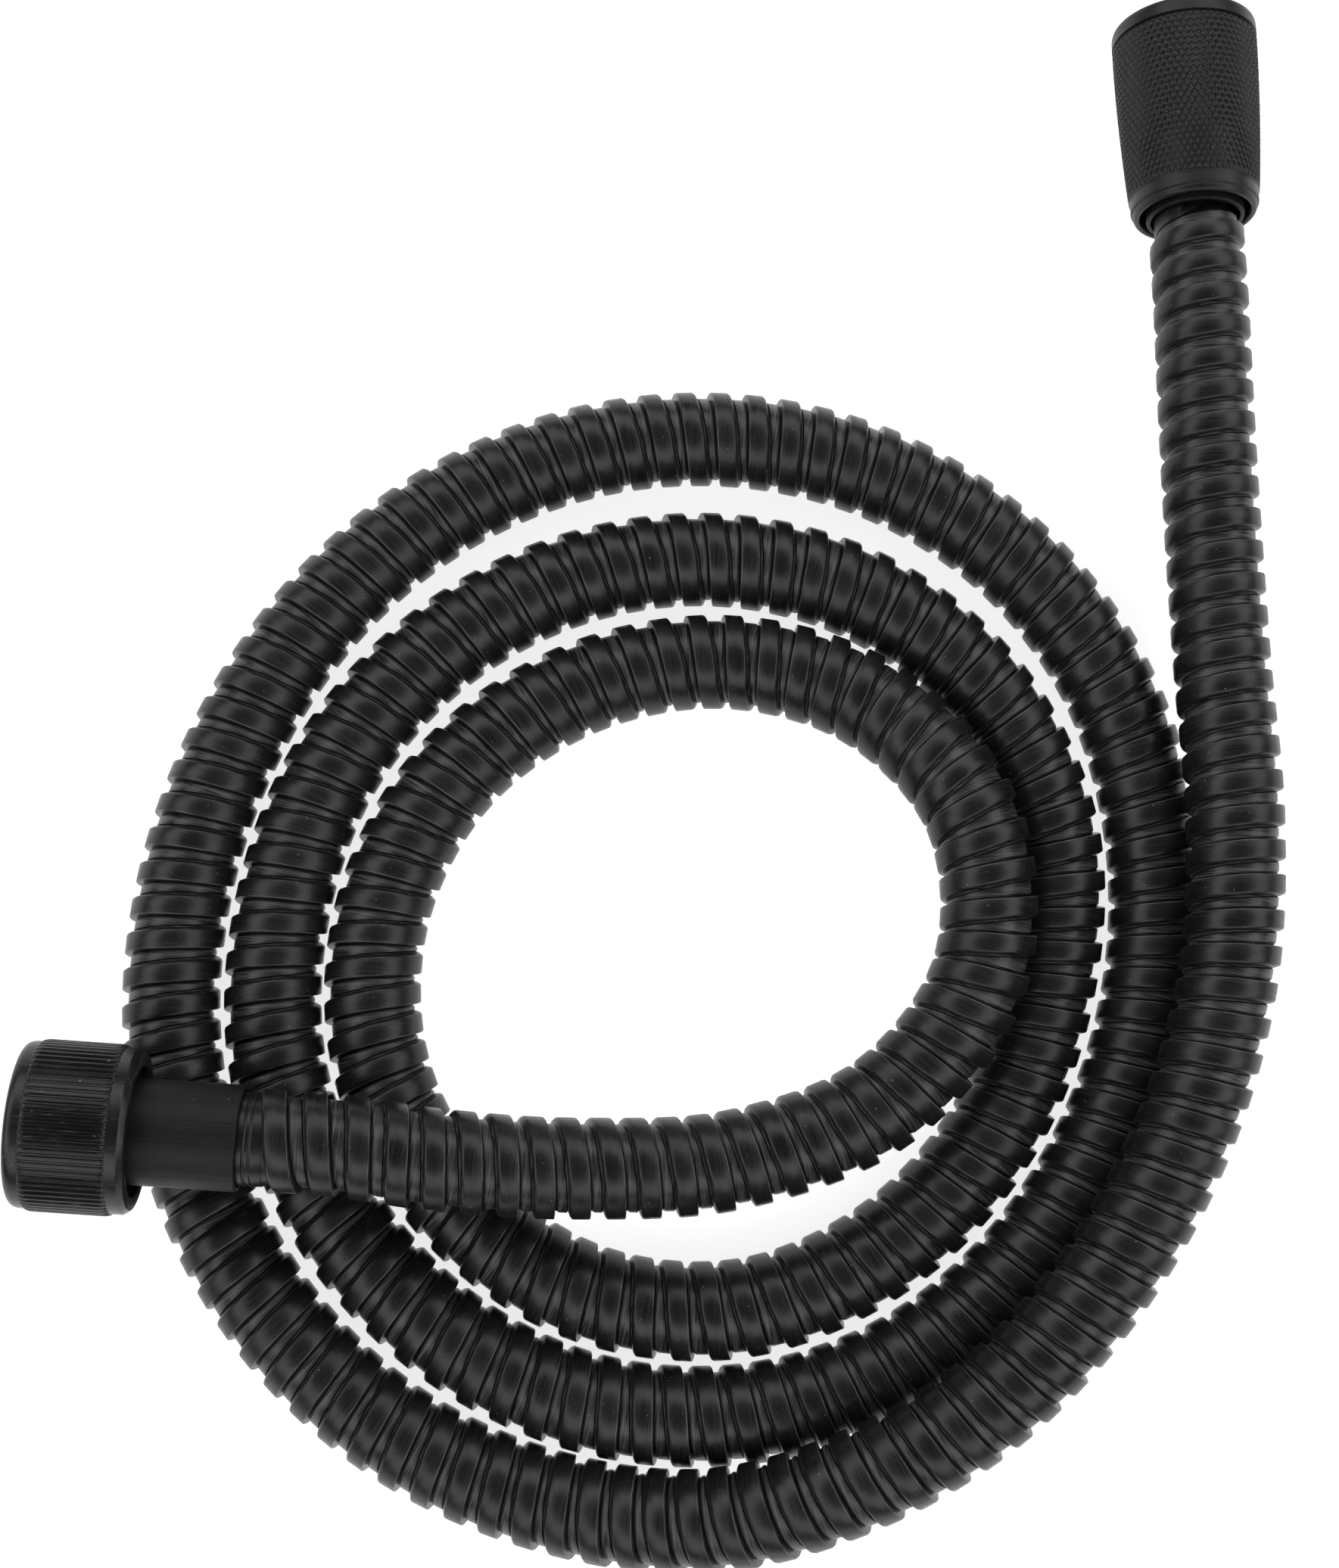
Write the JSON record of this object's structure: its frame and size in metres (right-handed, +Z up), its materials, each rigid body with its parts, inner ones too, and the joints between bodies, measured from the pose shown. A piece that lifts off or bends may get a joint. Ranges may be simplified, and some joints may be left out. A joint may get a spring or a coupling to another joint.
{
  "type": "shower hose",
  "caption": "Flexible strip-wound metal shower hose, coiled flat, with a ribbed tap nut at one end and a knurled cone nut at the other.",
  "frame": {"origin": "centre of the bounding box, on the floor the coil lies on", "axes": "+Z up from the floor; +Y towards the cone nut's end of the coil; +X to the right in the picture, away from the ribbed tap nut"},
  "size_m": [0.185, 0.236, 0.0387],
  "materials": {
    "black_strip": "satin black coating on a wound steel strip",
    "black_metal": "satin black coating on brass",
    "black_plastic": "moulded black plastic, semi-gloss",
    "brass": "turned",
    "slip_ring_plastic": "moulded",
    "seal_rubber": "matte",
    "liner_rubber": "matte"
  },
  "bodies": {
    "hose": {"hose_armour": "black_strip", "hose_liner": "liner_rubber", "tap_ferrule": "black_metal", "tap_hose_tail": "brass", "cone_ferrule": "black_metal", "cone_hose_tail": "brass"},
    "tap_turning": {"tap_slip_ring": "slip_ring_plastic", "tap_seal": "seal_rubber"},
    "tap_nut": {"tap_nut": "black_plastic"},
    "cone_turning": {"cone_slip_ring": "slip_ring_plastic", "cone_seal": "seal_rubber"},
    "cone_nut": {"cone_nut": "black_metal"}
  },
  "joints": [
    {"name": "tap_nut_spin", "type": "hinge", "parent": "hose", "child": "tap_turning", "pos_m": [-0.05827, -0.05591, 0.0256], "axis": [-0.9968, 0.0712, 0.0356], "continuous": true},
    {"name": "tap_nut_slide", "type": "slide", "parent": "tap_turning", "child": "tap_nut", "axis": [0.9968, -0.0712, -0.0356], "range_m": [0, 0.0012]},
    {"name": "cone_nut_spin", "type": "hinge", "parent": "hose", "child": "cone_turning", "pos_m": [0.08163, 0.08369, 0.0145], "axis": [-0.0112, 0.9972, -0.0744], "continuous": true},
    {"name": "cone_nut_slide", "type": "slide", "parent": "cone_turning", "child": "cone_nut", "axis": [0.0112, -0.9972, 0.0744], "range_m": [0, 0.02]}
  ]
}
